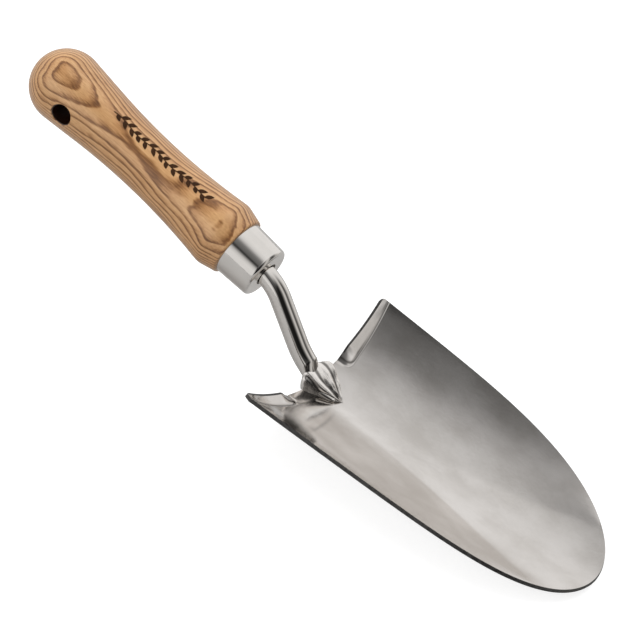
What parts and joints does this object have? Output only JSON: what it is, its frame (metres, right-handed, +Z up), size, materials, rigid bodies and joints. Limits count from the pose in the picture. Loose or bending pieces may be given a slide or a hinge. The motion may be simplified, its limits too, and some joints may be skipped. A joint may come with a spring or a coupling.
{
  "type": "hand trowel",
  "caption": "Garden hand trowel: a pressed steel scoop blade on a bent round neck, with a polished ferrule and a turned ash handle drilled for hanging.",
  "frame": {"origin": "on the surface that the trowel lies on, under the middle of its bounding box; it lies on the back of its blade, with the scoop open upwards", "axes": "+X from the handle to the nose of the blade, +Z up out of the scoop, +Y across the blade, along the hanging hole"},
  "size_m": [0.3164, 0.099, 0.0754],
  "materials": {
    "ash": "satin",
    "ferrule_steel": "polished",
    "adhesive": "matte",
    "neck_steel": "polished",
    "blade_steel": "satin",
    "weld_steel": "polished"
  },
  "bodies": {
    "root": {"handle": "ash", "ferrule": "ferrule_steel", "tang_adhesive": "adhesive", "neck": "neck_steel", "blade": "blade_steel", "weld_bead": "weld_steel"}
  },
  "joints": []
}
